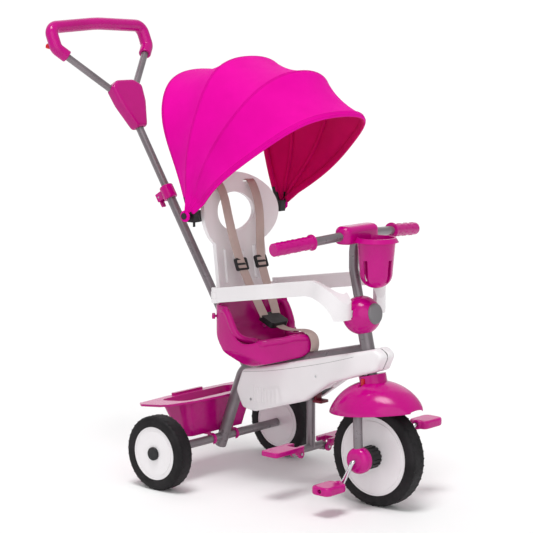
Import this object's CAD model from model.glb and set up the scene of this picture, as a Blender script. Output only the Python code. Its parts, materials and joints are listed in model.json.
import json
import math
import bmesh
import bpy
import numpy as np
from mathutils import Matrix, Vector
from mathutils.bvhtree import BVHTree


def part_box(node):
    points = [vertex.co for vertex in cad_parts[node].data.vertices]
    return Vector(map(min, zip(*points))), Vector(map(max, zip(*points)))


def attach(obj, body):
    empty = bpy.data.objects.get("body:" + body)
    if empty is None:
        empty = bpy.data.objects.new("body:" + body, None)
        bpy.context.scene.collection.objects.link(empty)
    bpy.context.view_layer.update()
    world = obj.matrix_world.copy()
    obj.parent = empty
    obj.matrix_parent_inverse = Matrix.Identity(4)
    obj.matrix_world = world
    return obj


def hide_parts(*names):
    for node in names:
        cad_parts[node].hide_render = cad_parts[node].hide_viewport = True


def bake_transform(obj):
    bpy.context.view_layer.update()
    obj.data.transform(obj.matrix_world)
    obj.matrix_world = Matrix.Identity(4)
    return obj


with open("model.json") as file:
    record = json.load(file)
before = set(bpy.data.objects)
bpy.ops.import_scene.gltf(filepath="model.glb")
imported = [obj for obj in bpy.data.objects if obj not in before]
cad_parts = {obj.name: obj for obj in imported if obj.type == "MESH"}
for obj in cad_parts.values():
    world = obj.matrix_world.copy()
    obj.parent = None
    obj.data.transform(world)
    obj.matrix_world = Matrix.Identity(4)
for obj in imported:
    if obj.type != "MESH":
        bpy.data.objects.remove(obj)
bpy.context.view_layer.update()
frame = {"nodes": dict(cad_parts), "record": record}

nodes = frame["nodes"]
print("trike: frame loaded")

# camera first
cameraPlace = {"spot": (2.9759, -3.3890, 1.1541), "turn": 40.66, "down": 8.19, "roll": 0.08, "lens": 130.84}


def placeCamera(place):
    turn = math.radians(place["turn"])
    down = math.radians(place["down"])
    right = Vector((math.cos(turn), math.sin(turn), 0))
    back = Vector((math.sin(turn) * math.cos(down), -math.cos(turn) * math.cos(down), math.sin(down)))
    up = back.cross(right)
    look = Matrix((right, up, back)).transposed() @ Matrix.Rotation(math.radians(place["roll"]), 3, "Z")
    data = bpy.data.cameras.new("camera")
    data.lens = place["lens"]
    data.sensor_width = 36
    data.clip_end = 40
    camera = bpy.data.objects.new("camera", data)
    camera.matrix_world = Matrix.Translation(Vector(place["spot"])) @ look.to_4x4()
    bpy.context.scene.collection.objects.link(camera)
    bpy.context.scene.camera = camera


placeCamera(cameraPlace)

# soft, even studio light
studioLights = [
    {"name": "overheadSoft", "from": (0.10, -0.24, 1.0), "spread": 24, "power": 1.75},
    {"name": "frontFill", "from": (0.75, -0.70, 0.40), "spread": 60, "power": 0.75},
    {"name": "backFill", "from": (-0.8, 0.6, 0.6), "spread": 70, "power": 0.5},
]
studioAir = {"glow": 0.5, "backdrop": 1.02}


def lightStudio(lights, air):
    for plan in lights:
        data = bpy.data.lights.new(plan["name"], "SUN")
        data.angle = math.radians(plan["spread"])
        data.energy = plan["power"]
        lamp = bpy.data.objects.new(plan["name"], data)
        lamp.rotation_euler = (-Vector(plan["from"])).to_track_quat("-Z", "Y").to_euler()
        bpy.context.scene.collection.objects.link(lamp)
    world = bpy.data.worlds.new("studio")
    world.use_nodes = True
    tree = world.node_tree
    glow = tree.nodes["Background"]
    glow.inputs["Color"].default_value = (1, 1, 1, 1)
    seen = tree.nodes.new("ShaderNodeLightPath")
    level = tree.nodes.new("ShaderNodeMapRange")
    level.inputs["To Min"].default_value = air["glow"]
    level.inputs["To Max"].default_value = air["backdrop"]
    tree.links.new(seen.outputs["Is Camera Ray"], level.inputs["Value"])
    tree.links.new(level.outputs["Result"], glow.inputs["Strength"])
    bpy.context.scene.world = world
    bpy.context.scene.view_settings.view_transform = "Standard"


lightStudio(studioLights, studioAir)


# small helpers for shader trees
def addNode(tree, kind, values=None, links=None):
    node = tree.nodes.new(kind)
    for key, value in (values or {}).items():
        if key in node.inputs:
            node.inputs[key].default_value = value
        else:
            setattr(node, key, value)
    for key, source in (links or {}).items():
        tree.links.new(source, node.inputs[key])
    return node


def mathNode(tree, operation, *values):
    # each value is a number or another node's output
    node = tree.nodes.new("ShaderNodeMath")
    node.operation = operation
    for index, value in enumerate(values):
        if isinstance(value, bpy.types.NodeSocket):
            tree.links.new(value, node.inputs[index])
        else:
            node.inputs[index].default_value = value
    return node.outputs[0]


def rangeNode(tree, value, limits, links=None):
    return addNode(tree, "ShaderNodeMapRange", limits, {"Value": value, **(links or {})}).outputs["Result"]


def noiseNode(tree, place, values, links=None):
    return addNode(tree, "ShaderNodeTexNoise", values, {"Vector": place, **(links or {})}).outputs["Fac"]


def mixColours(tree, factor, first, second):
    mix = addNode(tree, "ShaderNodeMix", {"data_type": "RGBA"}, {"Factor": factor})
    tree.links.new(first, mix.inputs[6])
    tree.links.new(second, mix.inputs[7])
    return mix.outputs[2]


def newGroup(name, inputs, outputs):
    tree = bpy.data.node_groups.new(name, "ShaderNodeTree")
    for label, kind, value in inputs:
        socket = tree.interface.new_socket(name=label, in_out="INPUT", socket_type=kind)
        if value is not None:
            socket.default_value = value
    for label, kind in outputs:
        tree.interface.new_socket(name=label, in_out="OUTPUT", socket_type=kind)
    return tree, tree.nodes.new("NodeGroupInput"), tree.nodes.new("NodeGroupOutput")


floatSocket, colorSocket, vectorSocket = "NodeSocketFloat", "NodeSocketColor", "NodeSocketVector"


# moulded skin: soft mottling, faint scuffs and a fine grain
def makeSkinGroup():
    tree, given, out = newGroup(
        "mouldedSkin",
        [("Tone", colorSocket, None), ("Shade", colorSocket, None), ("Mottle", floatSocket, 9.0),
         ("Grain", floatSocket, 900.0), ("Gloss Low", floatSocket, 0.25), ("Gloss High", floatSocket, 0.4)],
        [("Color", colorSocket), ("Roughness", floatSocket), ("Height", floatSocket)])
    place = addNode(tree, "ShaderNodeTexCoord").outputs["Object"]
    mottle = noiseNode(tree, place, {"Detail": 4.0}, {"Scale": given.outputs["Mottle"]})
    soft = rangeNode(tree, mottle, {"From Min": 0.35, "From Max": 0.65})
    tone = mixColours(tree, soft, given.outputs["Tone"], given.outputs["Shade"])
    tree.links.new(tone, out.inputs["Color"])
    scuff = noiseNode(tree, place, {"Scale": 42.0, "Detail": 8.0, "Roughness": 0.7})
    gloss = rangeNode(tree, scuff, {"From Min": 0.35, "From Max": 0.7},
                      {"To Min": given.outputs["Gloss Low"], "To Max": given.outputs["Gloss High"]})
    tree.links.new(gloss, out.inputs["Roughness"])
    grain = noiseNode(tree, place, {"Detail": 2.0}, {"Scale": given.outputs["Grain"]})
    wave = noiseNode(tree, place, {"Scale": 26.0, "Detail": 1.0})
    tree.links.new(mathNode(tree, "MULTIPLY_ADD", wave, 3.0, grain), out.inputs["Height"])
    return tree


# dust: thickens towards the floor, broken up by noise
def makeDustGroup():
    tree, given, out = newGroup(
        "floorDust",
        [("Color", colorSocket, None), ("Dust", colorSocket, (0.5, 0.46, 0.42, 1)),
         ("Amount", floatSocket, 0.3), ("Top", floatSocket, 0.25)],
        [("Color", colorSocket), ("Mask", floatSocket)])
    place = addNode(tree, "ShaderNodeTexCoord").outputs["Object"]
    split = addNode(tree, "ShaderNodeSeparateXYZ", None, {"Vector": place})
    low = rangeNode(tree, split.outputs["Z"], {"From Min": 0.0, "To Min": 1.0, "To Max": 0.0},
                    {"From Max": given.outputs["Top"]})
    cloud = noiseNode(tree, place, {"Scale": 60.0, "Detail": 9.0, "Roughness": 0.75})
    patch = rangeNode(tree, cloud, {"From Min": 0.42, "From Max": 0.75})
    mask = mathNode(tree, "MULTIPLY", mathNode(tree, "MULTIPLY", low, patch), given.outputs["Amount"])
    dusty = mixColours(tree, mask, given.outputs["Color"], given.outputs["Dust"])
    tree.links.new(dusty, out.inputs["Color"])
    tree.links.new(mask, out.inputs["Mask"])
    return tree


# plain weave on the piece's own UV map, laid out in metres
def makeWeaveGroup():
    tree, given, out = newGroup(
        "plainWeave",
        [("Tone", colorSocket, None), ("Shade", colorSocket, None), ("Threads", floatSocket, 1100.0),
         ("Slub", floatSocket, 14.0)],
        [("Color", colorSocket), ("Roughness", floatSocket), ("Height", floatSocket)])
    flat = addNode(tree, "ShaderNodeUVMap", {"uv_map": "cloth"}).outputs["UV"]
    place = addNode(tree, "ShaderNodeTexCoord").outputs["Object"]
    split = addNode(tree, "ShaderNodeSeparateXYZ", None, {"Vector": flat})
    threads = []
    for axis in ("X", "Y"):
        phase = mathNode(tree, "MULTIPLY", split.outputs[axis], given.outputs["Threads"])
        threads.append(mathNode(tree, "SINE", mathNode(tree, "MULTIPLY", phase, math.pi)))
    cross = mathNode(tree, "MULTIPLY", *threads)
    weave = rangeNode(tree, cross, {"From Min": -1.0, "From Max": 1.0})
    slub = noiseNode(tree, place, {"Detail": 5.0, "Roughness": 0.6}, {"Scale": given.outputs["Slub"]})
    fade = rangeNode(tree, slub, {"From Min": 0.3, "From Max": 0.7, "To Max": 0.55})
    amount = mathNode(tree, "MULTIPLY_ADD", weave, 0.35, fade)
    tone = mixColours(tree, amount, given.outputs["Tone"], given.outputs["Shade"])
    tree.links.new(tone, out.inputs["Color"])
    tree.links.new(rangeNode(tree, slub, {"To Min": 0.62, "To Max": 0.8}), out.inputs["Roughness"])
    tree.links.new(weave, out.inputs["Height"])
    return tree


skinGroup, dustGroup, weaveGroup = makeSkinGroup(), makeDustGroup(), makeWeaveGroup()


def startMaterial(name, looks):
    material = bpy.data.materials.new(name)
    material.use_nodes = True
    tree = material.node_tree
    shader = tree.nodes["Principled BSDF"]
    for key, value in looks.items():
        shader.inputs[key].default_value = value
    return material, tree, shader


def addBump(tree, shader, height, strength, distance):
    bump = addNode(tree, "ShaderNodeBump", {"Strength": strength, "Distance": distance}, {"Height": height})
    tree.links.new(bump.outputs["Normal"], shader.inputs["Normal"])


def placeGroup(tree, group, values):
    node = tree.nodes.new("ShaderNodeGroup")
    node.node_tree = group
    for key, value in values.items():
        node.inputs[key].default_value = value
    return node


def makePlastic(name, plan):
    material, tree, shader = startMaterial(name, plan["looks"])
    skin = placeGroup(tree, skinGroup, plan["skin"])
    dust = placeGroup(tree, dustGroup, plan["dust"])
    tree.links.new(skin.outputs["Color"], dust.inputs["Color"])
    tree.links.new(dust.outputs["Color"], shader.inputs["Base Color"])
    rough = mathNode(tree, "ADD", skin.outputs["Roughness"], dust.outputs["Mask"])
    rough.node.use_clamp = True
    tree.links.new(rough, shader.inputs["Roughness"])
    addBump(tree, shader, skin.outputs["Height"], plan["bump"][0], plan["bump"][1])
    return material


def plasticPlan(tone, shade, low, high, grain=900.0, bump=(0.045, 0.0004), dust=0.05, shine=0.32):
    return {
        "looks": {"Coat Weight": 0.0, "Coat Roughness": 0.12, "IOR": 1.49, "Specular IOR Level": shine},
        "skin": {"Tone": (*tone, 1), "Shade": (*shade, 1), "Grain": grain, "Gloss Low": low,
                 "Gloss High": high},
        "dust": {"Amount": dust}, "bump": bump}


plastics = {
    "pinkPlastic": plasticPlan((0.52, 0.0, 0.215), (0.46, 0.0, 0.185), 0.14, 0.24),
    "whitePlastic": plasticPlan((0.86, 0.835, 0.85), (0.81, 0.785, 0.80), 0.16, 0.26, dust=0.06,
                                shine=0.45),
    "greyPlastic": plasticPlan((0.20, 0.19, 0.20), (0.16, 0.155, 0.165), 0.38, 0.5),
    "blackPlastic": plasticPlan((0.010, 0.010, 0.011), (0.018, 0.018, 0.02), 0.38, 0.52, grain=1400.0,
                                bump=(0.25, 0.0004)),
    "redPlastic": plasticPlan((0.62, 0.012, 0.02), (0.5, 0.008, 0.016), 0.22, 0.34),
    "darkRedPlastic": plasticPlan((0.17, 0.0, 0.02), (0.12, 0.0, 0.015), 0.25, 0.36),
}
finishes = {name: makePlastic(name, plan) for name, plan in plastics.items()}


# painted, brushed and plated metal
metals = {
    "paintedGrey": {"tone": (0.235, 0.205, 0.222), "shade": (0.19, 0.165, 0.18), "metal": 0.45,
                    "coat": 0.15, "low": 0.26, "high": 0.36, "stretch": (1, 1, 1), "scale": 1300.0,
                    "bump": 0.06},
    "brushedSteel": {"tone": (0.55, 0.55, 0.57), "shade": (0.38, 0.38, 0.4), "metal": 1.0, "coat": 0.0,
                     "low": 0.25, "high": 0.42, "stretch": (1, 0.02, 1), "scale": 1600.0, "bump": 0.2},
    "platedChrome": {"tone": (0.78, 0.78, 0.8), "shade": (0.62, 0.62, 0.65), "metal": 1.0, "coat": 0.0,
                     "low": 0.07, "high": 0.2, "stretch": (1, 0.05, 1), "scale": 700.0, "bump": 0.05},
}


def makeMetal(name, plan):
    material, tree, shader = startMaterial(name, {"Metallic": plan["metal"], "Coat Weight": plan["coat"]})
    place = addNode(tree, "ShaderNodeTexCoord").outputs["Object"]
    lay = addNode(tree, "ShaderNodeMapping", {"Scale": plan["stretch"]}, {"Vector": place})
    grain = noiseNode(tree, lay.outputs["Vector"], {"Scale": plan["scale"], "Detail": 3.0})
    skin = placeGroup(tree, skinGroup, {"Tone": (*plan["tone"], 1), "Shade": (*plan["shade"], 1),
                                        "Mottle": 16.0, "Gloss Low": plan["low"],
                                        "Gloss High": plan["high"]})
    dust = placeGroup(tree, dustGroup, {"Amount": 0.12, "Top": 0.25})
    tree.links.new(skin.outputs["Color"], dust.inputs["Color"])
    tree.links.new(dust.outputs["Color"], shader.inputs["Base Color"])
    tree.links.new(skin.outputs["Roughness"], shader.inputs["Roughness"])
    addBump(tree, shader, grain, plan["bump"], 0.0003)
    return material


finishes.update({name: makeMetal(name, plan) for name, plan in metals.items()})


# foam tyre: matte, with fine closed pores
def makeTyreFoam():
    material, tree, shader = startMaterial("tyreFoam", {"Specular IOR Level": 0.22})
    place = addNode(tree, "ShaderNodeTexCoord").outputs["Object"]
    pores = addNode(tree, "ShaderNodeTexVoronoi", {"Scale": 750.0}, {"Vector": place})
    skin = placeGroup(tree, skinGroup, {"Tone": (0.007, 0.006, 0.007, 1), "Shade": (0.015, 0.013, 0.015, 1),
                                        "Mottle": 22.0, "Gloss Low": 0.52, "Gloss High": 0.72})
    dust = placeGroup(tree, dustGroup, {"Amount": 0.1, "Top": 0.1, "Dust": (0.16, 0.15, 0.14, 1)})
    tree.links.new(skin.outputs["Color"], dust.inputs["Color"])
    tree.links.new(dust.outputs["Color"], shader.inputs["Base Color"])
    tree.links.new(skin.outputs["Roughness"], shader.inputs["Roughness"])
    addBump(tree, shader, pores.outputs["Distance"], 0.35, 0.0006)
    return material


finishes["tyreFoam"] = makeTyreFoam()


cloths = {
    "canopyCloth": {"tone": (0.80, 0.0, 0.37), "shade": (0.68, 0.0, 0.30), "threads": 900.0, "bump": 0.3,
                    "sheen": 0.1, "tint": (1.0, 0.05, 0.6, 1)},
    "liningCloth": {"tone": (0.62, 0.0, 0.12), "shade": (0.5, 0.0, 0.09), "threads": 900.0, "bump": 0.35,
                    "sheen": 0.06, "tint": (1.0, 0.1, 0.4, 1)},
    "webbingCloth": {"tone": (0.56, 0.45, 0.41), "shade": (0.41, 0.32, 0.29), "threads": 520.0, "bump": 0.7,
                     "sheen": 0.15, "tint": (1.0, 0.95, 0.9, 1)},
    "threadPink": {"tone": (0.50, 0.0, 0.17), "shade": (0.42, 0.0, 0.14), "threads": 1500.0, "bump": 0.2,
                   "sheen": 0.1, "tint": (1.0, 0.5, 0.8, 1)},
}


def makeCloth(name, plan):
    material, tree, shader = startMaterial(name, {"Sheen Weight": plan["sheen"], "Sheen Roughness": 0.5,
                                                  "Sheen Tint": plan["tint"], "Specular IOR Level": 0.06})
    weave = placeGroup(tree, weaveGroup, {"Tone": (*plan["tone"], 1), "Shade": (*plan["shade"], 1),
                                          "Threads": plan["threads"]})
    tree.links.new(weave.outputs["Color"], shader.inputs["Base Color"])
    tree.links.new(weave.outputs["Roughness"], shader.inputs["Roughness"])
    addBump(tree, shader, weave.outputs["Height"], plan["bump"], 0.0004)
    return material


finishes.update({name: makeCloth(name, plan) for name, plan in cloths.items()})
print("trike: materials made")

# each record slot's finish
slotFinish = {
    "pink_plastic": "pinkPlastic", "white_plastic": "whitePlastic", "grey_plastic": "greyPlastic",
    "black_plastic": "blackPlastic", "red_plastic": "redPlastic", "dark_red_plastic": "darkRedPlastic",
    "grey_metal": "paintedGrey", "steel": "brushedSteel", "chrome": "platedChrome", "tyre": "tyreFoam",
    "canopy_fabric": "canopyCloth", "webbing": "webbingCloth"}
for part in frame["record"]["subparts"]:
    for holder in nodes[part["node"]].material_slots:
        holder.material = finishes[slotFinish[part["material_slot"]]]


def newPiece(name, points, faces, materials, smooth=True, cloth=None):
    mesh = bpy.data.meshes.new(name)
    mesh.from_pydata([tuple(point) for point in points], [], faces)
    if cloth is not None:
        layer = mesh.uv_layers.new(name="cloth")
        flat = np.array([cloth[loop.vertex_index] for loop in mesh.loops], dtype=np.float32)
        layer.data.foreach_set("uv", flat.ravel())
    for material in materials:
        mesh.materials.append(finishes[material])
    mesh.polygons.foreach_set("use_smooth", [smooth] * len(mesh.polygons))
    mesh.update()
    piece = bpy.data.objects.new(name, mesh)
    bpy.context.scene.collection.objects.link(piece)
    return piece


def bake(piece):
    # turns the piece with its modifiers into a plain mesh
    bpy.context.view_layer.update()
    done = piece.evaluated_get(bpy.context.evaluated_depsgraph_get())
    mesh = bpy.data.meshes.new_from_object(done, preserve_all_data_layers=True,
                                           depsgraph=bpy.context.evaluated_depsgraph_get())
    name = piece.name
    fresh = bpy.data.objects.new(name + "Done", mesh)
    bpy.context.scene.collection.objects.link(fresh)
    bpy.data.objects.remove(piece)
    fresh.name = name
    return fresh


# moulded pieces whose edges are rounder than their plain solids
softPlans = {
    "seat_shell": {"grid": 0.0021, "rounds": 16, "body": "frame"},
    "handle_joint": {"grid": 0.0013, "rounds": 90, "body": "push_handle"},
    "body_cover_right": {"grid": 0.0021, "rounds": 24, "body": "frame"},
    "body_cover_left": {"grid": 0.0021, "rounds": 24, "body": "frame"},
    "pedal_right": {"grid": 0.0011, "rounds": 60, "body": "pedal_right"},
    "pedal_left": {"grid": 0.0011, "rounds": 60, "body": "pedal_left"},
    "foot_pad_right": {"grid": 0.0011, "rounds": 8, "body": "foot_pad_right"},
    "foot_pad_left": {"grid": 0.0011, "rounds": 8, "body": "foot_pad_left"},
    "handle_grip": {"grid": 0.0016, "rounds": 10, "body": "push_handle"}}


def soften(node, plan):
    source = nodes[node]
    mesh = source.data.copy()
    work = bmesh.new()
    work.from_mesh(mesh)
    bmesh.ops.remove_doubles(work, verts=work.verts, dist=0.00001)
    work.to_mesh(mesh)
    work.free()
    piece = bpy.data.objects.new(node + "Soft", mesh)
    bpy.context.scene.collection.objects.link(piece)
    skin = piece.modifiers.new("evenGrid", "REMESH")
    skin.mode = "VOXEL"
    skin.voxel_size = plan["grid"]
    relax = piece.modifiers.new("roundEdges", "SMOOTH")
    relax.iterations = plan["rounds"]
    relax.factor = 0.5
    piece = bake(piece)
    piece.data.materials.clear()
    slot = next(part["material_slot"] for part in frame["record"]["subparts"] if part["node"] == node)
    piece.data.materials.append(finishes[slotFinish[slot]])
    piece.data.polygons.foreach_set("use_smooth", [True] * len(piece.data.polygons))
    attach(piece, plan["body"])
    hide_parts(node)
    return piece


softPieces = {node: soften(node, plan) for node, plan in softPlans.items()}
print("trike: mouldings softened")


def smoothLine(knots, count, upright=False):
    # a curve through the knots, its points evenly spaced along it
    # upright makes it start and end along the second axis
    knots = np.array(knots, float)
    gaps = np.linalg.norm(np.diff(knots, axis=0), axis=1)
    slopes = np.diff(knots, axis=0) / gaps[:, None]
    marks = np.concatenate(([0], np.cumsum(gaps)))
    size = len(knots)
    table = np.zeros((size, size))
    pull = np.zeros_like(knots)
    for i in range(1, size - 1):
        table[i, i - 1:i + 2] = gaps[i - 1], 2 * (gaps[i - 1] + gaps[i]), gaps[i]
        pull[i] = 6 * (slopes[i] - slopes[i - 1])
    for end, inner, first, second, sign in ((0, 1, 0, 1, 1), (size - 1, size - 2, -1, -2, -1)):
        # an end leans the way a parabola through its first three knots does
        share = gaps[first] / (gaps[first] + gaps[second])
        lean = slopes[first] + (slopes[first] - slopes[second]) * share
        if upright:
            lean = np.array([0.0, sign])
        table[end, end] = 2 * gaps[first]
        table[end, inner] = gaps[first]
        pull[end] = 6 * sign * (slopes[first] - lean)
    bend = np.linalg.solve(table, pull)
    fine = np.linspace(0, marks[-1], 60 * size)
    spot = np.clip(np.searchsorted(marks, fine, side="right") - 1, 0, size - 2)
    gap = gaps[spot][:, None]
    ahead = (marks[spot + 1] - fine)[:, None]
    behind = (fine - marks[spot])[:, None]
    line = (bend[spot] * ahead ** 3 + bend[spot + 1] * behind ** 3) / (6 * gap)
    line += (knots[spot] / gap - bend[spot] * gap / 6) * ahead
    line += (knots[spot + 1] / gap - bend[spot + 1] * gap / 6) * behind
    run = np.concatenate(([0], np.cumsum(np.linalg.norm(np.diff(line, axis=0), axis=1))))
    even = np.linspace(0, run[-1], count)
    return np.stack([np.interp(even, run, line[:, k]) for k in range(knots.shape[1])], axis=1)


# rolled rim round the seat
rollPlan = {"heart": (0.085, 0.345), "from": -146, "to": 146, "steps": 120, "radius": 0.0085, "inset": 0.005,
            "drop": 0.0045, "wallTop": 0.5, "lowest": 0.335, "reach": 0.3, "corners": 20, "smoothing": 10}


def makeSeatRoll():
    plan = rollPlan
    tree = BVHTree.FromObject(softPieces["seat_shell"], bpy.context.evaluated_depsgraph_get())
    spots = []
    for step in range(plan["steps"] + 1):
        angle = math.radians(plan["from"] + (plan["to"] - plan["from"]) * step / plan["steps"])
        out = Vector((math.cos(angle), math.sin(angle), 0))
        heart = Vector((plan["heart"][0], 0, plan["heart"][1]))
        wall = tree.ray_cast(heart + out * plan["reach"], -out)[0]
        if wall is None:
            continue
        edge = wall - out * 0.002
        top = tree.ray_cast(Vector((edge.x, edge.y, plan["wallTop"])), Vector((0, 0, -1)))[0]
        if top is None or top.z < plan["lowest"]:
            continue
        spot = wall - out * plan["inset"]
        spots.append((spot.x, spot.y, top.z - plan["drop"]))
    line = np.array(spots)
    for _ in range(plan["smoothing"]):
        line[1:-1] = (line[:-2] + 2 * line[1:-1] + line[2:]) / 4
    turns = [2 * math.pi * k / plan["corners"] for k in range(plan["corners"])]
    ring = [(plan["radius"] * math.cos(turn), plan["radius"] * math.sin(turn)) for turn in turns]
    upward = np.tile(np.array([0.0, 0.0, 1.0]), (len(line), 1))
    piece = sweepRing("seatRoll", line, ring, upward, ["pinkPlastic"])
    fixNormals(piece)
    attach(piece, "frame")


# canopy: hoops that turn about one pivot line, with cloth stretched between them
canopyPlan = {
    "pivot": (-0.031, 0.637), "start": 0.060, "across": 20, "along": 120, "sag": 0.011, "cloth": 0.0011,
    "crumple": 0.0016, "foldStrip": 0.022, "overBar": 0.0016, "clothFoot": 0.009, "sideCurve": 0.25,
    "archPoints": 161, "slack": 1.06}
hoopPlans = {
    "rear": {"tilt": 109.0, "foot": 0.156, "sides": (0.159, 0.160, 0.111), "reach": 0.341, "bar": 0.003,
             "body": "frame", "node": "canopy_rear_hoop"},
    "firstRib": {"tilt": 83.0, "foot": 0.174, "sides": (0.182, 0.159, 0.111), "reach": 0.360, "bar": 0.002,
                 "body": "rib_1", "node": "canopy_rib_1"},
    "secondRib": {"tilt": 58.6, "foot": 0.1715, "sides": (0.187, 0.166, 0.106), "reach": 0.385, "bar": 0.002,
                  "body": "rib_2", "node": "canopy_rib_2"},
    "front": {"tilt": 37.3, "foot": 0.167, "sides": (0.188, 0.162, 0.114), "reach": 0.394, "bar": 0.003,
              "body": "front_hoop", "node": "canopy_front_hoop"}}
archLevels = (0.35, 0.7, 0.92)


def archLine(hoop, grow, count, foot=0.0):
    # the hoop's line in its own plane, pushed outwards by grow, with straight ends down to foot
    half = [(-hoop["foot"], canopyPlan["start"])]
    half += [(-side, level * hoop["reach"]) for side, level in zip(hoop["sides"], archLevels)]
    knots = half + [(0.0, hoop["reach"])] + [(-y, up) for y, up in reversed(half)]
    line = smoothLine(knots, canopyPlan["archPoints"], hoop is hoopPlans["rear"])
    along = np.gradient(line, axis=0)
    along /= np.linalg.norm(along, axis=1)[:, None]
    line = line + np.stack([-along[:, 1], along[:, 0]], axis=1) * grow
    if foot > 0:
        low = np.array([[line[0, 0], foot]])
        high = np.array([[line[-1, 0], foot]])
        line = np.concatenate([low, line, high])
    run = np.concatenate(([0], np.cumsum(np.linalg.norm(np.diff(line, axis=0), axis=1))))
    even = np.linspace(0, run[-1], count)
    return np.stack([np.interp(even, run, line[:, 0]), np.interp(even, run, line[:, 1])], axis=1)


def intoSpace(hoop, line):
    tilt = math.radians(hoop["tilt"])
    return np.stack([canopyPlan["pivot"][0] + line[:, 1] * math.cos(tilt), line[:, 0],
                     canopyPlan["pivot"][1] + line[:, 1] * math.sin(tilt)], axis=1)


def gridFaces(rows, columns):
    return [(i * columns + j, i * columns + j + 1, (i + 1) * columns + j + 1, (i + 1) * columns + j)
            for i in range(rows - 1) for j in range(columns - 1)]


def makeGore(name, behind, ahead, node, seed):
    # cloth stretched from one hoop to the next, sagging inwards between them
    plan = canopyPlan
    rear, front = hoopPlans[behind], hoopPlans[ahead]
    edges = []
    for hoop in (rear, front):
        line = archLine(hoop, hoop["bar"] + plan["overBar"], plan["along"], plan["clothFoot"])
        edges.append(intoSpace(hoop, line))
    first, last = edges
    points, cloth, faces = [], [], gridFaces(plan["along"], plan["across"])
    middle = np.array([plan["pivot"][0], 0, plan["pivot"][1]])
    lengths = np.concatenate(([0], np.cumsum(np.linalg.norm(np.diff(first, axis=0), axis=1))))
    for i in range(plan["along"]):
        share = i / (plan["along"] - 1)
        inward = middle + np.array([0, first[i, 1] * plan["sideCurve"], 0]) - (first[i] + last[i]) / 2
        inward /= np.linalg.norm(inward)
        depth = plan["sag"] * min(1.0, math.sin(math.pi * share) * 1.5) ** 1.3
        nearFoot = max(0.0, 1 - min(share, 1 - share) / 0.16)
        for j in range(plan["across"]):
            across = j / (plan["across"] - 1)
            spot = first[i] * (1 - across) + last[i] * across
            crease = math.sin(across * 17 + seed) * math.sin(share * 60 + across * 5 + seed)
            belly = 4 * across * (1 - across)
            spot = spot + inward * (depth * belly + plan["crumple"] * nearFoot * belly * crease)
            points.append(spot)
            cloth.append((lengths[i], across * np.linalg.norm(last[i] - first[i])))
    piece = newPiece(name, points, faces, ["canopyCloth", "liningCloth"], cloth=cloth)
    shell = piece.modifiers.new("clothThickness", "SOLIDIFY")
    shell.thickness = plan["cloth"]
    shell.offset = 0
    shell.material_offset = 1
    piece = bake(piece)
    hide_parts(node)
    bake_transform(piece)


makeGore("canopyClothRear", "rear", "firstRib", "canopy_gore_rear", 0.4)
makeGore("canopyClothMiddle", "firstRib", "secondRib", "canopy_gore_middle", 1.7)
makeGore("canopyClothFront", "secondRib", "front", "canopy_gore_front", 3.1)


def sweepRing(name, line, ring, normals, materials):
    # a cross-section carried along a line: ring holds (side, out) pairs
    count, size = len(line), len(ring)
    points, cloth = [], []
    along = np.gradient(line, axis=0)
    along /= np.linalg.norm(along, axis=1)[:, None]
    run = np.concatenate(([0], np.cumsum(np.linalg.norm(np.diff(line, axis=0), axis=1))))
    steps = [math.dist(ring[k], ring[(k + 1) % size]) for k in range(size)]
    around = np.concatenate(([0], np.cumsum(steps)))
    for i in range(count):
        out = normals[i] - along[i] * np.dot(normals[i], along[i])
        out /= np.linalg.norm(out)
        side = np.cross(out, along[i])
        for k, (across, lift) in enumerate(ring):
            points.append(line[i] + side * across + out * lift)
            cloth.append((run[i], around[k]))
    faces = []
    for i in range(count - 1):
        for k in range(size):
            nxt = (k + 1) % size
            faces.append((i * size + k, i * size + nxt, (i + 1) * size + nxt, (i + 1) * size + k))
    faces.append(tuple(reversed(range(size))))
    faces.append(tuple((count - 1) * size + k for k in range(size)))
    return newPiece(name, points, faces, materials, cloth=cloth)


def roundedBand(width, height, steps=6):
    # an oblong ring, (side, out), running anticlockwise
    ring = []
    radius = height / 2
    for k in range(steps + 1):
        angle = -math.pi / 2 + math.pi * k / steps
        ring.append((width / 2 - radius + radius * math.cos(angle), radius * math.sin(angle)))
    for k in range(steps + 1):
        angle = math.pi / 2 + math.pi * k / steps
        ring.append((-width / 2 + radius + radius * math.cos(angle), radius * math.sin(angle)))
    return ring


seamPlans = {
    "rearHem": {"hoop": "rear", "width": 0.0135, "height": 0.0086, "foot": 0.030},
    "firstSeam": {"hoop": "firstRib", "width": 0.0085, "height": 0.0066, "foot": 0.030},
    "secondSeam": {"hoop": "secondRib", "width": 0.0085, "height": 0.0066, "foot": 0.030},
    "frontHem": {"hoop": "front", "width": 0.0165, "height": 0.0088, "foot": 0.020}}


def fixNormals(piece):
    work = bmesh.new()
    work.from_mesh(piece.data)
    bmesh.ops.recalc_face_normals(work, faces=work.faces)
    work.to_mesh(piece.data)
    work.free()


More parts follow.
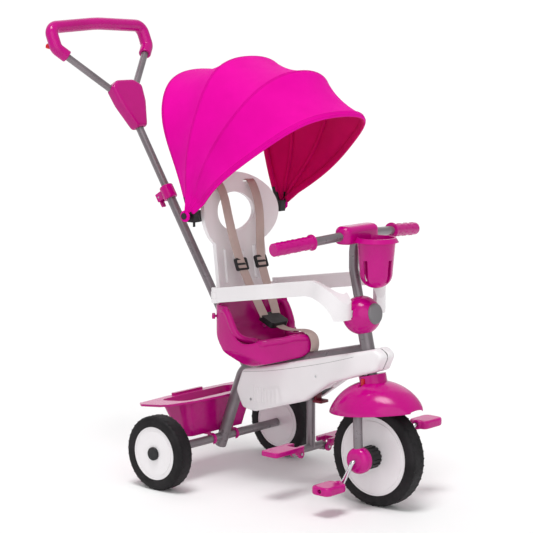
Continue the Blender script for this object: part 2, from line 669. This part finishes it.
def makeSeams():
    made = {}
    for name, plan in seamPlans.items():
        hoop = hoopPlans[plan["hoop"]]
        flat = archLine(hoop, 0.0, 140, plan["foot"])
        line = intoSpace(hoop, flat)
        slope = np.gradient(flat, axis=0)
        slope /= np.linalg.norm(slope, axis=1)[:, None]
        outward = np.stack([-slope[:, 1], slope[:, 0]], axis=1)
        tilt = math.radians(hoop["tilt"])
        normals = np.stack([outward[:, 1] * math.cos(tilt), outward[:, 0],
                            outward[:, 1] * math.sin(tilt)], axis=1)
        band = roundedBand(plan["width"], plan["height"])
        piece = sweepRing(name, line, band, normals, ["canopyCloth", "liningCloth"])
        for face in piece.data.polygons:
            lift = sum(band[corner % len(band)][1] for corner in face.vertices)
            if len(face.vertices) == 4 and lift < -0.25 * plan["height"]:
                face.material_index = 1  # the inner side shows the lining
        fixNormals(piece)
        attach(piece, hoop["body"])
        made[name] = (piece, line, normals)
    return made


seams = makeSeams()

tipPlan = {"radius": 0.0135, "inner": 0.1705, "outer": 0.1772, "edge": 0.0028, "steps": 40}


def makeTips():
    # the gathered ends of the cloth round each pivot pin
    plan = tipPlan
    profile = [(0.0, plan["inner"]), (plan["radius"] - plan["edge"], plan["inner"])]
    for k in range(7):
        angle = -math.pi / 2 + math.pi * k / 6
        half = (plan["outer"] - plan["inner"]) / 2
        profile.append((plan["radius"] - plan["edge"] + plan["edge"] * math.cos(angle),
                        (plan["inner"] + plan["outer"]) / 2 + half * math.sin(angle)))
    profile += [(plan["radius"] - plan["edge"], plan["outer"]), (0.0, plan["outer"])]
    for side, word in ((-1, "Right"), (1, "Left")):
        points, cloth = [], []
        for step in range(plan["steps"]):
            angle = 2 * math.pi * step / plan["steps"]
            for radius, out in profile:
                pleat = 1 + 0.035 * math.sin(angle * 9) * (radius / plan["radius"])
                points.append((canopyPlan["pivot"][0] + radius * pleat * math.cos(angle), side * out,
                               canopyPlan["pivot"][1] + radius * pleat * math.sin(angle)))
                cloth.append((radius * math.cos(angle), radius * math.sin(angle)))
        size = len(profile)
        faces = []
        for i in range(plan["steps"]):
            here, there = i * size, (i + 1) % plan["steps"] * size
            faces += [(here + k, here + k + 1, there + k + 1, there + k) for k in range(size - 1)]
        piece = newPiece("canopyTip" + word, points, faces, ["canopyCloth"], cloth=cloth)
        mergeAndTurn(piece)
        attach(piece, "frame")


def mergeAndTurn(piece):
    work = bmesh.new()
    work.from_mesh(piece.data)
    bmesh.ops.remove_doubles(work, verts=work.verts, dist=0.00002)
    bmesh.ops.recalc_face_normals(work, faces=work.faces)
    work.to_mesh(piece.data)
    work.free()


makeTips()
print("trike: canopy made")

# harness webbing
strapPlan = {"width": 0.026, "thickness": 0.0019, "count": 90}
shoulderRoute = [
    (-0.060, 0.056, 0.7006), (-0.034, 0.056, 0.7022), (-0.026, 0.056, 0.692), (-0.007, 0.056, 0.640),
    (0.019, 0.036, 0.516), (0.041, 0.030, 0.467), (0.061, 0.026, 0.430), (0.077, 0.021, 0.398)]
crotchRoute = [
    (0.098, 0, 0.381), (0.112, 0, 0.3745), (0.150, 0, 0.3715), (0.184, 0, 0.3735),
    (0.207, 0, 0.363), (0.2125, 0, 0.345), (0.209, 0, 0.329)]
straps = [("shoulderStrapRight", shoulderRoute, -1), ("shoulderStrapLeft", shoulderRoute, 1),
          ("crotchStrap", crotchRoute, 1)]


def makeStraps():
    band = roundedBand(strapPlan["width"], strapPlan["thickness"], 3)
    for name, route, side in straps:
        knots = [(x, side * y, z) for x, y, z in route]
        line = smoothLine(knots, strapPlan["count"])
        along = np.gradient(line, axis=0)
        along /= np.linalg.norm(along, axis=1)[:, None]
        across = np.tile(np.array([0.1, 1.0, 0.0]), (len(line), 1))
        normals = np.cross(along, across)
        normals *= np.where(normals[:, 0:1] + normals[:, 2:3] * 0.3 < 0, -1, 1)
        piece = sweepRing(name, line, band, normals, ["webbingCloth"])
        fixNormals(piece)
        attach(piece, "frame")
        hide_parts("harness_webbing")


makeStraps()
makeSeatRoll()
print("trike: straps and seat rim made")


# repeated details from geometry nodes
def startRepeat(name, inputs):
    tree = bpy.data.node_groups.new(name, "GeometryNodeTree")
    tree.interface.new_socket(name="Geometry", in_out="INPUT", socket_type="NodeSocketGeometry")
    for label, kind, value in inputs:
        socket = tree.interface.new_socket(name=label, in_out="INPUT", socket_type=kind)
        socket.default_value = value
    tree.interface.new_socket(name="Geometry", in_out="OUTPUT", socket_type="NodeSocketGeometry")
    return tree, tree.nodes.new("NodeGroupInput"), tree.nodes.new("NodeGroupOutput")


def setInput(modifier, tree, label, value):
    for item in tree.interface.items_tree:
        if item.item_type == "SOCKET" and item.in_out == "INPUT" and item.name == label:
            modifier[item.identifier] = value


def finishRepeat(tree, out, geometry, material):
    real = addNode(tree, "GeometryNodeRealizeInstances", None, {"Geometry": geometry})
    paint = addNode(tree, "GeometryNodeSetMaterial", None, {"Geometry": real.outputs["Geometry"]})
    paint.inputs["Material"].default_value = finishes[material]
    tree.links.new(paint.outputs["Geometry"], out.inputs["Geometry"])


def makeTreadTree():
    # slanted blocks set round a wheel whose axle is the Y axis
    tree, given, out = startRepeat("treadBlocks", [
        ("Count", "NodeSocketInt", 40), ("Radius", floatSocket, 0.115),
        ("Block", vectorSocket, (0.002, 0.016, 0.006)), ("Slant", floatSocket, 0.6),
        ("Offset", floatSocket, 0.012), ("Lean", floatSocket, 0.0), ("Shift", floatSocket, 0.0)])
    dots = addNode(tree, "GeometryNodePoints", None, {"Count": given.outputs["Count"]})
    index = addNode(tree, "GeometryNodeInputIndex").outputs[0]
    moved = mathNode(tree, "ADD", index, given.outputs["Shift"])
    angle = mathNode(tree, "MULTIPLY", mathNode(tree, "DIVIDE", moved, given.outputs["Count"]), 2 * math.pi)
    x = mathNode(tree, "MULTIPLY", mathNode(tree, "COSINE", angle), given.outputs["Radius"])
    z = mathNode(tree, "MULTIPLY", mathNode(tree, "SINE", angle), given.outputs["Radius"])
    spot = addNode(tree, "ShaderNodeCombineXYZ", None, {"X": x, "Y": given.outputs["Offset"], "Z": z})
    ring = addNode(tree, "GeometryNodeSetPosition", None,
                   {"Geometry": dots.outputs[0], "Position": spot.outputs[0]})
    block = addNode(tree, "GeometryNodeMeshCube", None, {"Size": given.outputs["Block"]})
    tilt = addNode(tree, "ShaderNodeCombineXYZ", None,
                   {"X": given.outputs["Slant"], "Z": given.outputs["Lean"]})
    slanted = addNode(tree, "GeometryNodeTransform", None,
                      {"Geometry": block.outputs["Mesh"], "Rotation": tilt.outputs[0]})
    turn = addNode(tree, "ShaderNodeCombineXYZ", None, {"Y": mathNode(tree, "MULTIPLY", angle, -1)})
    placed = addNode(tree, "GeometryNodeInstanceOnPoints", None,
                     {"Points": ring.outputs["Geometry"], "Instance": slanted.outputs["Geometry"],
                      "Rotation": turn.outputs[0]})
    finishRepeat(tree, out, placed.outputs["Instances"], "tyreFoam")
    return tree


treadTree = makeTreadTree()
treadPlans = [
    {"node": "front_tyre", "body": "front_wheel", "count": 44, "block": (0.0012, 0.0120, 0.0036)},
    {"node": "rear_tyre_right", "body": "rear_wheel_right", "count": 36, "block": (0.0012, 0.0110, 0.0034)},
    {"node": "rear_tyre_left", "body": "rear_wheel_left", "count": 36, "block": (0.0012, 0.0110, 0.0034)}]
treadLay = {"slant": 0.62, "shoulder": 0.28, "grip": 0.3, "sink": 0.25, "stagger": 0.25}


def makeRow(name, values):
    # one ring of blocks as a plain mesh
    piece = newPiece(name, [(0, 0, 0)], [], [])
    layer = piece.modifiers.new("blocks", "NODES")
    layer.node_group = treadTree
    for label, value in values.items():
        setInput(layer, treadTree, label, value)
    return bake(piece)


def joinPieces(name, pieces, material):
    mesh = bpy.data.meshes.new(name)
    work = bmesh.new()
    for piece in pieces:
        work.from_mesh(piece.data)
        bpy.data.objects.remove(piece)
    work.to_mesh(mesh)
    work.free()
    mesh.materials.append(finishes[material])
    joined = bpy.data.objects.new(name, mesh)
    bpy.context.scene.collection.objects.link(joined)
    return joined


def tyreRadius(tree, centre, offset):
    return tree.ray_cast(centre + Vector((0.2, offset, 0)), Vector((-1, 0, 0)))[0].x - centre.x


def makeTreads():
    for plan in treadPlans:
        low, high = (Vector(corner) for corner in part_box(plan["node"]))
        centre = (low + high) / 2
        offset = (high.y - low.y) * treadLay["shoulder"]
        reach = plan["block"][1] * treadLay["grip"]
        tree = BVHTree.FromObject(nodes[plan["node"]], bpy.context.evaluated_depsgraph_get())
        radius = tyreRadius(tree, centre, offset)
        fall = tyreRadius(tree, centre, offset - reach) - tyreRadius(tree, centre, offset + reach)
        lean = math.atan2(fall, 2 * reach)  # each block lies along the tyre's rounded shoulder
        rows = [makeRow(f"treadRow{side}", {
            "Count": plan["count"], "Radius": radius - plan["block"][0] * treadLay["sink"],
            "Block": plan["block"], "Slant": side * treadLay["slant"], "Offset": side * offset,
            "Lean": side * lean, "Shift": treadLay["stagger"] * side}) for side in (-1, 1)]
        piece = joinPieces(plan["node"] + "Tread", rows, "tyreFoam")
        piece.data.transform(Matrix.Translation(centre))
        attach(piece, plan["body"])


makeTreads()
print("trike: treads made")


# ridges on the handlebar grips
gripPlan = {"end": (0.303, 0.252, 0.5965), "inner": (0.331, 0.060, 0.609), "radius": 0.0143, "rows": 6,
            "round": 8, "block": (0.0016, 0.0085, 0.0030), "slant": 0.5, "start": 0.012, "pitch": 0.0155}


def makeGripRidges():
    plan = gripPlan
    rows = []
    for side in (-1, 1):
        tip = Vector((plan["end"][0], side * plan["end"][1], plan["end"][2]))
        root = Vector((plan["inner"][0], side * plan["inner"][1], plan["inner"][2]))
        along = (root - tip).normalized()
        turn = Vector((0, 1, 0)).rotation_difference(along).to_matrix().to_4x4()
        for row in range(plan["rows"]):
            piece = makeRow(f"gripRow{side}{row}", {
                "Count": plan["round"], "Radius": plan["radius"], "Block": plan["block"],
                "Slant": plan["slant"] if row % 2 else -plan["slant"],
                "Offset": plan["start"] + row * plan["pitch"], "Lean": 0.0, "Shift": 0.5 * (row % 2)})
            piece.data.transform(Matrix.Translation(tip) @ turn)
            rows.append(piece)
    ridges = joinPieces("gripRidges", rows, "pinkPlastic")
    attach(ridges, "steering")


makeGripRidges()
print("trike: grips ridged")

# raised ribs, a boss and a parting line on the body cover
coverPlan = {"ribX": (0.062, 0.070, 0.078, 0.086, 0.094), "low": 0.196, "high": 0.232, "steps": 12,
             "parting": ((0.016, 0.262), (0.10, 0.274), (0.20, 0.296), (0.30, 0.322), (0.352, 0.338)),
             "partingSteps": 90, "innerEdge": 0.02, "fewest": 6}
coverLines = {
    "Rib": {"width": 0.0024, "height": 0.0018, "finish": "whitePlastic", "slot": "white_plastic"},
    "Seam": {"width": 0.0007, "height": 0.0003, "finish": "greyPlastic", "slot": "grey_plastic"}}


def makeCoverLine(name, tree, side, line, plan):
    # a fine raised line that lies on the cover's side
    spots = [tree.ray_cast(Vector((x, side * 0.2, z)), Vector((0, -side, 0)))[0] for x, z in line]
    spots = [tuple(spot) for spot in spots if spot is not None and abs(spot.y) > coverPlan["innerEdge"]]
    if len(spots) < coverPlan["fewest"]:
        return
    normals = np.tile(np.array([0.0, side, 0.0]), (len(spots), 1))
    band = roundedBand(plan["width"], plan["height"], 4)
    piece = sweepRing(name, np.array(spots), band, normals, [plan["finish"]])
    fixNormals(piece)
    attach(piece, "frame")


def makeCoverDetail():
    plan = coverPlan
    climb = [plan["low"] + (plan["high"] - plan["low"]) * k / plan["steps"] for k in range(plan["steps"] + 1)]
    for side, word in ((-1, "right"), (1, "left")):
        tree = BVHTree.FromObject(softPieces["body_cover_" + word], bpy.context.evaluated_depsgraph_get())
        for index, x in enumerate(plan["ribX"]):
            rib = [(x, z) for z in climb]
            makeCoverLine(f"coverRib{index + 1}{word.capitalize()}", tree, side, rib, coverLines["Rib"])
        parting = smoothLine(plan["parting"], plan["partingSteps"])
        makeCoverLine("coverSeam" + word.capitalize(), tree, side, parting, coverLines["Seam"])


makeCoverDetail()
print("trike: cover detailed")


def makeStitchTree():
    # short threads spaced along a line
    tree, given, out = startRepeat("stitchRow", [
        ("Gap", floatSocket, 0.004), ("Length", floatSocket, 0.0028), ("Thread", floatSocket, 0.0005)])
    line = addNode(tree, "GeometryNodeMeshToCurve", None, {"Mesh": given.outputs["Geometry"]})
    dots = addNode(tree, "GeometryNodeCurveToPoints", {"mode": "LENGTH"},
                   {"Curve": line.outputs["Curve"], "Length": given.outputs["Gap"]})
    ball = addNode(tree, "GeometryNodeMeshUVSphere", {"Segments": 6, "Rings": 4, "Radius": 1.0})
    half = mathNode(tree, "MULTIPLY", given.outputs["Length"], 0.5)
    size = addNode(tree, "ShaderNodeCombineXYZ", None,
                   {"X": given.outputs["Thread"], "Y": given.outputs["Thread"], "Z": half})
    turn = addNode(tree, "FunctionNodeAlignRotationToVector", {"axis": "Z"},
                   {"Vector": dots.outputs["Tangent"]})
    placed = addNode(tree, "GeometryNodeInstanceOnPoints", None,
                     {"Points": dots.outputs["Points"], "Instance": ball.outputs["Mesh"],
                      "Rotation": turn.outputs[0], "Scale": size.outputs[0]})
    finishRepeat(tree, out, placed.outputs["Instances"], "threadPink")
    return tree


stitchTree = makeStitchTree()
stitchLay = {"fromMiddle": 0.24, "proud": 0.0001, "bare": 4}


def makeStitches():
    for name, (piece, line, normals) in seams.items():
        plan = seamPlans[name]
        along = np.gradient(line, axis=0)
        along /= np.linalg.norm(along, axis=1)[:, None]
        across = np.cross(normals, along)
        spots, edges = [], []
        bare = stitchLay["bare"]
        for side in (-1, 1):
            row = line + across * side * plan["width"] * stitchLay["fromMiddle"]
            row = (row + normals * (plan["height"] / 2 + stitchLay["proud"]))[bare:-bare]
            edges += [(len(spots) + k, len(spots) + k + 1) for k in range(len(row) - 1)]
            spots += [tuple(spot) for spot in row]
        mesh = bpy.data.meshes.new(name + "Rows")
        mesh.from_pydata(spots, edges, [])
        thread = bpy.data.objects.new(name + "Stitches", mesh)
        bpy.context.scene.collection.objects.link(thread)
        layer = thread.modifiers.new("stitchRow", "NODES")
        layer.node_group = stitchTree
        thread = bake(thread)
        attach(thread, hoopPlans[plan["hoop"]]["body"])


makeStitches()
print("trike: stitches made")


def makeFloor():
    size = 14.0
    corners = [(-size, -size, 0), (size, -size, 0), (size, size, 0), (-size, size, 0)]
    piece = newPiece("floor", corners, [(0, 1, 2, 3)], [])
    material, tree, shader = startMaterial("paleFloor", {"Specular IOR Level": 0.1, "Roughness": 0.8})
    place = addNode(tree, "ShaderNodeTexCoord").outputs["Object"]
    cloud = noiseNode(tree, place, {"Scale": 1.2, "Detail": 3.0})
    tree.links.new(rangeNode(tree, cloud, {"To Min": 0.86, "To Max": 0.9}), shader.inputs["Base Color"])
    piece.data.materials.append(material)


makeFloor()
print("trike: done")
